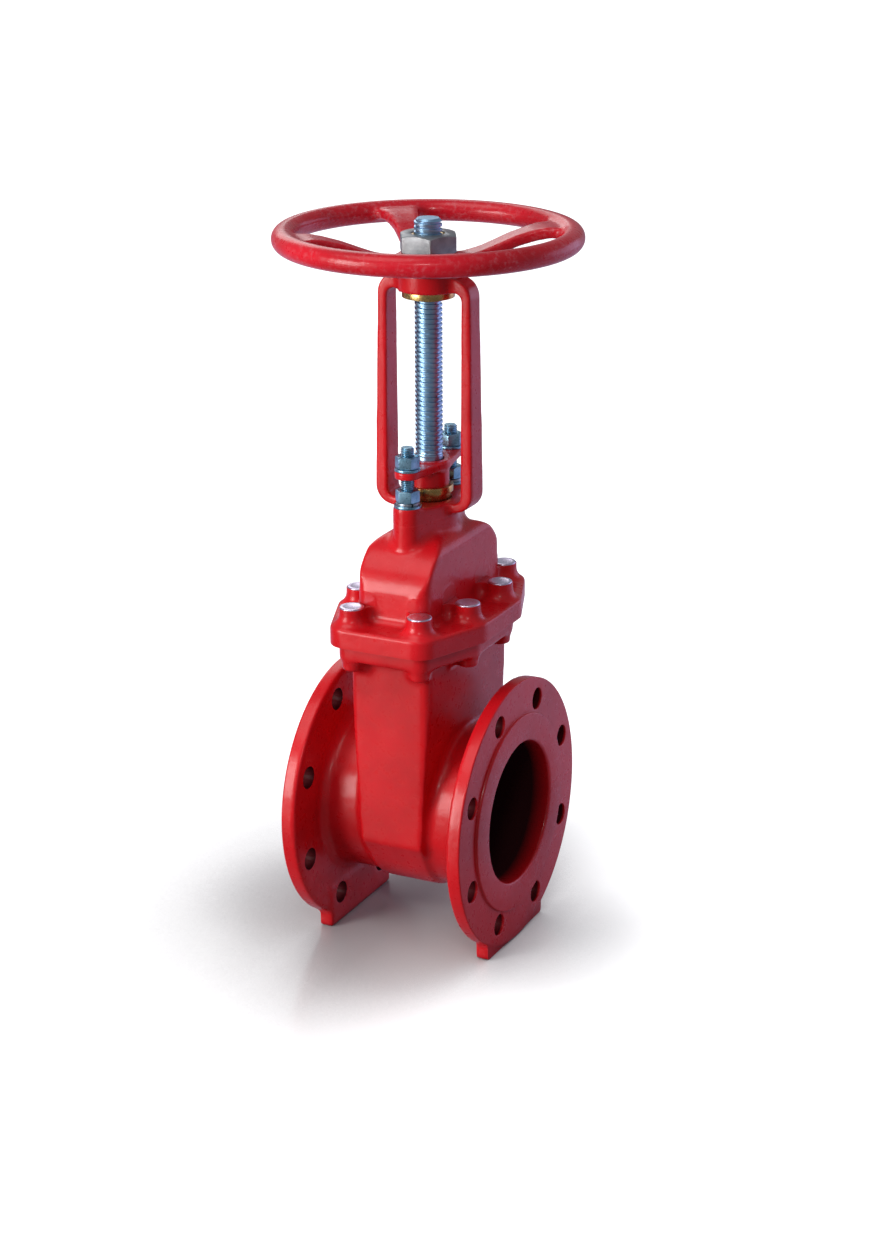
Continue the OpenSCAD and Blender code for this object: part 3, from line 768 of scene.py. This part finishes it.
def make_body():
    hollow = body_hollow()
    # the filler stops below the joint face
    stock = [minus(scaled(hollow, (1.08, 1.025, 1.0), (0, 0, AXIS + 60)),
                   box(-80, 80, -120, 120, JOINT - 0.5, JOINT + 60)),
             cylinder(80, -FACE - STOCK, FACE + STOCK, CENTRE, 128, "x")]
    for side in SIDES:
        stock.append(cylinder(142.5, *sorted((side * 93, side * (FACE + STOCK))),
                              CENTRE, 192, "x"))
        stock += [cylinder(14, *sorted((side * 86.0, side * 103)), spot, 32, "x")
                  for spot in FLANGE_HOLES]
    stock.append(minus(bolt_hull(13.5, JOINT - 6, JOINT + STOCK),
                       box(-30, 30, -80, 80, JOINT - 20, JOINT + 20)))
    stock += [cylinder(9, JOINT - 28.6, JOINT + 2, spot, 32) for spot in BOLTS]

    # cutters as (radius, along x)
    raised_face = [
        (0, FACE), (104.4, FACE), (105.5, FACE - 1.1), (105.5, FACE - 2.4), (106.1, FLANGE),
        (141.6, FLANGE), (144.6, FACE - 6), (160, FACE - 6), (160, FACE + 12), (0, FACE + 12),
    ]
    bore = [
        (0, -FACE - 8), (84, -FACE - 8), (78, -FACE), (75, -FACE + 3),
        (75, FACE - 3), (78, FACE), (84, FACE + 8), (0, FACE + 8),
    ]
    ribs = [box(-5, 5, side * 82.5 - 2.5, side * 82.5 + 2.5, AXIS - 20, AXIS + 198)
            for side in SIDES]
    cuts = [
        lathe(raised_face, CENTRE, 192, "x", sign=1),
        lathe(raised_face, CENTRE, 192, "x", sign=-1),
        lathe(bore, CENTRE, 160, "x"),
        minus(hollow, *ribs),
        box(-90, 90, -130, 130, JOINT, JOINT + 40),
        join("holes", [flange_drill(spot, side) for spot in FLANGE_HOLES for side in SIDES]),
        join("taps", [drill(TAP_RADIUS, JOINT - 27, JOINT + 3, JOINT, spot) for spot in BOLTS]),
        # the gasket groove
        minus(prism(round_rect(40.5, 90.5, 12), "z", JOINT - 3, JOINT + 4),
              prism(round_rect(36, 86, 7.5), "z", JOINT - 6, JOINT + 6)),
    ]
    return cast("body_casting", "body", stock, cuts, voxel=1.9, fillet=4.0, smoothing=5)


def bonnet_hollow():
    roof = AXIS + 290
    return common(
        prism(arch(80, roof, 54, AXIS + 190), "x", -60, 60),
        prism(arch(34, roof, 12, AXIS + 190), "y", -110, 110),
        prism(round_rect(32.5, 78.5, 7), "z", JOINT - 1, JOINT + 119),
    )


def make_bonnet():
    stock = [
        minus(scaled(bonnet_hollow(), (1.08, 1.04, 1.0), (0, 0, AXIS + 290)),
              box(-80, 80, -120, 120, JOINT - 40, JOINT + 0.5)),
        cylinder(26, AXIS + 255, NECK + STOCK, segments=64),
        lug(NECK - 12, NECK + STOCK),
        minus(bolt_hull(22.5, JOINT - STOCK, JOINT + 6),
              box(-27, 27, -72, 72, JOINT - 20, JOINT + 20)),
    ]
    stock += [cylinder(13.5, JOINT + 2, BOSS + 9, spot, 48) for spot in BOLTS]
    stock += [cylinder(10, NECK - 28, NECK + 2, spot, 32) for spot in STUDS]

    # cutters as (radius, z)
    stem_hole = [
        (0, AXIS + 250), (20, AXIS + 250), (20, AXIS + 272), (14.6, AXIS + 272),
        (14.6, AXIS + 276), (22, AXIS + 276), (22, NECK - 0.8), (25, NECK + 2.2),
        (25, NECK + 10), (0, NECK + 10),
    ]
    recess = [
        (0, JOINT - 4), (7.5, JOINT - 4), (7.5, BOSS - 18), (11, BOSS - 18),
        (11, BOSS - 0.5), (13, BOSS + 1.5), (13, BOSS + 5), (0, BOSS + 5),
    ]
    cuts = [
        box(-110, 110, -150, 150, JOINT - 30, JOINT),
        minus(bonnet_hollow(), cylinder(28, AXIS + 262, AXIS + 320)),
        box(-60, 60, -90, 90, NECK, NECK + 20),
        lathe(stem_hole, segments=96),
        # trims the boss tops without touching the dome between them
        minus(bolt_hull(34, BOSS, BOSS + 22),
              prism(round_rect(40.9, 88.4, 13.4), "z", BOSS - 5, BOSS + 30)),
        join("recess", [lathe(recess, spot, 64) for spot in BOLTS]),
        join("studs", [drill(TAP_RADIUS, NECK - 26, NECK + 8, NECK, spot) for spot in STUDS]),
    ]
    return cast("bonnet_casting", "bonnet", stock, cuts, voxel=1.7, fillet=5.0, smoothing=5)


def make_yoke():
    pad = low("yoke_washers")
    stock = [lug(NECK - STOCK, NECK + 5), cylinder(26, NECK - STOCK, NECK + 15, segments=64)]
    stock += [cylinder(14.5, NECK + 2, pad + 2.5, spot, 48) for spot in STUDS]
    stock.append(cylinder(31.5, HUB_TOP - 17, HUB_TOP + STOCK))
    hub_hole = [  # radius, z
        (0, HUB_TOP - 24), (24.6, HUB_TOP - 24), (24.6, HUB_TOP - 17), (24, HUB_TOP - 16.4),
        (24, HUB_TOP - 4.5), (18, HUB_TOP - 4.5), (18, HUB_TOP - 0.6), (20, HUB_TOP + 1.4),
        (20, HUB_TOP + 9), (0, HUB_TOP + 9),
    ]
    cuts = [
        box(-90, 90, -90, 90, NECK - 20, NECK),
        join("pads", [cylinder(17, pad, pad + 9, spot, 48) for spot in STUDS]),
        drill(22.3, NECK - 6, NECK + 24, NECK + 15, segments=96, chamfer=0.8),
        join("studs", [drill(7.6, NECK - 5, pad + 12, pad, spot) for spot in STUDS]),
        box(-90, 90, -60, 60, HUB_TOP, HUB_TOP + 20),
        lathe(hub_hole, segments=96),
    ]
    return cast("yoke_casting", "yoke", stock, cuts, voxel=1.3, fillet=5.0, smoothing=6)


def make_gland():
    base, crown = low("gland_flange"), top("gland_flange")
    stock = [cylinder(20.5, base - 2, crown + 2)]
    stock += [cylinder(10, base + 18.4, base + 25.6, spot, 48) for spot in STUDS]
    cuts = [
        box(-60, 60, -90, 90, base - 9, base),
        box(-60, 60, -90, 90, crown, crown + 9),
        drill(15.2, base - 6, crown + 6, crown, segments=72, chamfer=1.0, back=base),
        join("ears", [drill(7.8, base + 12, crown + 4, base + 26, spot, back=base + 18)
                      for spot in STUDS]),
    ]
    return cast("gland_casting", "gland_flange", stock, cuts, voxel=0.9, fillet=3.0, smoothing=5)


def make_wheel():
    base, crown = low("handwheel"), low("handwheel_nut")
    stock = [
        cylinder(24, base - 2, crown + 2, segments=64),
        lathe([(15, base - 2), (27, base - 2), (27, crown + 2), (15, crown + 2)]),
    ]
    cuts = [
        box(-40, 40, -40, 40, base - 9, base),
        lathe([(0, crown), (29, crown), (31.5, crown + 2.5), (31.5, crown + 12), (0, crown + 12)]),
        drill(17.06, base - 8, crown + 8, crown, segments=96, chamfer=0.6, back=base),
        box(10, 20.6, -4.03, 4.03, base - 6, crown + 6),  # keyway
    ]
    return cast("handwheel_casting", "handwheel", stock, cuts, voxel=1.6, fillet=6.0, smoothing=8)


dress(make_body(), "body", "casing", "red_epoxy")
dress(make_bonnet(), "bonnet", "casing", "red_epoxy")
dress(make_yoke(), "yoke", "casing", "red_epoxy")
dress(make_gland(), "gland_flange", "casing", "red_epoxy")
dress(make_wheel(), "handwheel", "drive", "red_epoxy_wheel")

# --------------------------------------------------------- stem and fasteners

# Thread forms as (share of pitch, share of depth)
TRAPEZOID = [(0.0, 0.08), (0.035, 0.0), (0.50, 0.0), (0.535, 0.08), (0.64, 1.0), (0.89, 1.0)]
VEE = [(0.0, 0.0), (0.12, 0.0), (0.45, 1.0), (0.67, 1.0)]


def make_stem():
    shank = [  # radius, z
        (0, AXIS + 81), (10.2, AXIS + 81), (11, AXIS + 81.8), (11, AXIS + 98.2),
        (17.2, AXIS + 98.2), (18, AXIS + 99), (18, AXIS + 104),
        (STEM_RADIUS, AXIS + 108), (STEM_RADIUS, AXIS + 374),
    ]
    stem = add_object("stem_threaded", threaded(
        "stem_threaded", shank, top("stem"), depth=1.7, pitch=5.0, hand=-1, form=TRAPEZOID,
        cone=3.0, runout=7.0, segments=96))
    pin_hole = cylinder(4.05, -40, 40, (0, 0, AXIS + 89.5), 48, "x")
    boolean(stem, pin_hole, "DIFFERENCE")
    return finish_mesh(stem, 30)


def make_studs():
    base = low("gland_studs")
    shank = [(0, base), (6.1, base), (STUD_RADIUS, base + 0.9), (STUD_RADIUS, base + 38)]
    rods = [threaded("stud", shank, top("gland_studs"), depth=1.2, pitch=2.0, hand=1, form=VEE,
                     cone=1.35, runout=3.0, segments=40, at=spot) for spot in STUDS]
    return finish_mesh(add_object("gland_studs_threaded", join("studs", rods)), 30)


def make_caps():
    profile = [(radius, BOSS + height) for radius, height in (
        (0, 1.25), (7.5, 1.28), (8.3, 1.45), (9.3, 1.6), (11.2, 1.58), (12.0, 1.35), (12.45, 0.9),
        (12.6, 0.4), (12.5, 0), (10.9, 0), (10.9, -3.0), (10.5, -3.4), (0, -3.4),
    )]
    caps = join("caps", [lathe(profile, spot, 64) for spot in BOLTS])
    return finish_mesh(add_object("screw_caps_turned", caps), 40)


dress(make_stem(), "stem", "closure", "stem_steel")
dress(make_studs(), "gland_studs", "casing", "zinc_steel")
dress(make_caps(), "screw_caps", "casing", "cap_metal")
for node, body, material_name, width in (  # width of the broken edge in mm
    ("bonnet_screws", "casing", "zinc_steel", 0.3),
    ("yoke_washers", "casing", "zinc_steel", 0.25),
    ("yoke_lock_washers", "casing", "spring_steel", 0.2),
    ("yoke_nuts", "casing", "zinc_steel", 0.3),
    ("gland_washers", "casing", "zinc_steel", 0.25),
    ("gland_nuts", "casing", "zinc_steel", 0.3),
    ("gland_bush", "casing", "brass", 0.3),
    ("stem_nut", "drive", "brass", 0.35),
    ("retaining_ring", "casing", "brass", 0.4),
    ("handwheel_nut", "drive", "grey_iron", 0.6),
    ("handwheel_key", "drive", "key_steel", 0.3),
):
    dress(crisp(node + "_fine", node, width), node, body, material_name)


def make_rubber():
    """The rubber skin of the wedge, with a shallow pocket inside each seal band."""
    rubber = add_object("wedge_rubber_moulded", node_mesh("wedge_rubber"))
    tilt = math.atan(0.0625)
    profile = [(0, 24.6), (58, 24.6), (60, 26.6), (60, 40), (0, 40)]  # radius, along x
    for side in (1, -1):
        pocket = lathe(profile, segments=96, axis="x", sign=side)
        pocket.transform(Matrix.Translation((0, 0, AXIS * MM))
                         @ Matrix.Rotation(side * tilt, 4, "Y"))
        boolean(rubber, pocket, "DIFFERENCE")
    return finish_mesh(rubber)


dress(make_rubber(), "wedge_rubber", "closure", "epdm_rubber")

# CAD nodes that stay as they are get their material in place
KEEP = {
    "bonnet_gasket": "nbr_rubber", "backseat_bush": "brass", "packing_rings": "packing",
    "wedge_nut": "brass", "wedge_pin": "key_steel", "wedge_core": "bare_iron",
    "guide_shoes": "nylon", "thrust_washer_lower": "nylon", "thrust_washer_upper": "nylon",
}
for node, default in KEEP.items():
    kept_node = frame["nodes"][node]
    material = MATERIALS[SLOT.get(node, default)]
    if not kept_node.material_slots:
        kept_node.data.materials.append(material)
    for slot in kept_node.material_slots:
        slot.material = material

# ------------------------------------------------------------ stage and light

scene = bpy.context.scene
scene.view_settings.view_transform = "Standard"
scene.view_settings.look = "None"

world = bpy.data.worlds.new("studio")
world.use_nodes = True
scene.world = world
background = world.node_tree.nodes["Background"]
background.inputs["Color"].default_value = (0.84, 0.88, 1.0, 1)
background.inputs["Strength"].default_value = 0.30


def floor_material():
    """A floor that the camera sees glow, less so close to the valve, with a painted
    contact shadow where ambient occlusion finds it closed in, painted shadow towards -x
    and less shade towards +x, and that reflections see as dark towards -y and lilac towards +y."""
    graph = Graph("studio_floor")
    camera_ray = graph.add("LightPath").outputs["Is Camera Ray"]
    split = graph.add("SeparateXYZ", {0: graph.place})
    x, y = split.outputs["X"], split.outputs["Y"]
    away = graph.length(x, y)
    grey = graph.ramp(graph.noise(scale=2.0, detail=2.0),
                      (0.3, (0.45, 0.45, 0.45)), (0.7, (0.47, 0.47, 0.47)))
    reflected = graph.mix(graph.remap(y, source=(-0.20, 0.30), to=(0.0, 1.0)),
                          (0.20, 0.19, 0.20), (0.66, 0.62, 0.86))
    # painted shadow: the floor's grey darkens towards -x, beside the far flange
    grey = graph.mix(graph.remap(x, source=(-0.20, 0.0), to=(1.0, 0.0)), grey, (0.38, 0.38, 0.38))
    colour = graph.mix(camera_ray, reflected, grey)
    # painted contact shadow: the glow drops where ambient occlusion finds the floor closed in
    openness = graph.occlusion(distance=0.28, samples=12)
    near = graph.math("POWER", graph.remap(openness, source=(0.64, 1.0), to=(0.0, 1.0)), 1.4)
    # painted light: extra glow towards +x lightens the contact shadow there
    lift = graph.times(graph.remap(x, source=(-0.03, 0.14), to=(0.0, 0.42)),
                       graph.remap(openness, source=(0.25, 0.69), to=(0.0, 1.0)))
    spread = graph.remap(away, source=(0.30, 0.60), to=(0.70, 1.1))
    glow = graph.math("ADD", graph.times(near, spread), lift)
    graph.surface({"Specular IOR Level": 0.3, "Roughness": 0.22, "Base Color": colour,
                   "Emission Color": (1, 1, 1), "Emission Strength": graph.times(camera_ray, glow)})
    return MATERIALS["studio_floor"]


REACH = 30000  # half the floor's width
floor_mesh = make_mesh(
    "floor", [(-REACH, -REACH, 0), (REACH, -REACH, 0), (REACH, REACH, 0), (-REACH, REACH, 0)],
    [[0, 1, 2, 3]], weld=False)
floor = add_object("studio_floor", floor_mesh)
floor_mesh.materials.append(floor_material())


def point_light(name, data, direction):
    light = add_object(name, data)
    light.rotation_mode = "QUATERNION"
    light.rotation_quaternion = direction.to_track_quat("-Z", "Y")
    return light


MIDDLE = (cad_lo + cad_hi) / 2


def area(name, at, size, power, color=(1, 1, 1)):
    """An area light aimed at the middle of the valve, in metres and watts."""
    data = bpy.data.lights.new(name, "AREA")
    data.shape = "RECTANGLE"
    data.size, data.size_y = size
    data.energy, data.color = power, color
    point_light(name, data, Vector(MIDDLE) - Vector(at)).location = at


area("key", at=(-1.6, -2.5, 0.95), size=(1.3, 1.5), power=77, color=(1.0, 0.985, 0.97))
area("spark", at=(0.95, -2.3, 2.0), size=(0.35, 0.35), power=9)
area("side", at=(1.8, 2.6, 0.85), size=(2.6, 1.5), power=20, color=(0.68, 0.62, 1.0))
area("back", at=(-1.6, 1.7, 1.9), size=(1.4, 1.4), power=12)
sun = bpy.data.lights.new("fill", "SUN")
sun.energy, sun.angle = 0.9, math.radians(40)
point_light("fill", sun, Vector((0.30, 0.42, -1.0)))

# The camera circles a target on the valve, level but for a small roll
AZIMUTH = math.radians(-63.71)
ELEVATION = math.radians(19.35)
ROLL = math.radians(-0.227)
DISTANCE = 2.76034  # metres
TARGET = Vector((0.00862, 0.0, BORE + 0.19379))

camera_data = bpy.data.cameras.new("camera")
camera_data.sensor_width, camera_data.sensor_fit = 36.0, "AUTO"
camera_data.lens = 76.8103846
camera_data.clip_start, camera_data.clip_end = 0.05, 200
camera = add_object("camera", camera_data)
outward = Vector((math.cos(ELEVATION) * math.cos(AZIMUTH),
                  math.cos(ELEVATION) * math.sin(AZIMUTH), math.sin(ELEVATION)))
right = (-outward).cross(Vector((0, 0, 1))).normalized()
up = right.cross(-outward)
rolled_right = right * math.cos(ROLL) + up * math.sin(ROLL)
rolled_up = -right * math.sin(ROLL) + up * math.cos(ROLL)
pose = Matrix((rolled_right, rolled_up, outward)).transposed().to_4x4()
pose.translation = TARGET + outward * DISTANCE
camera.matrix_world = pose
scene.camera = camera
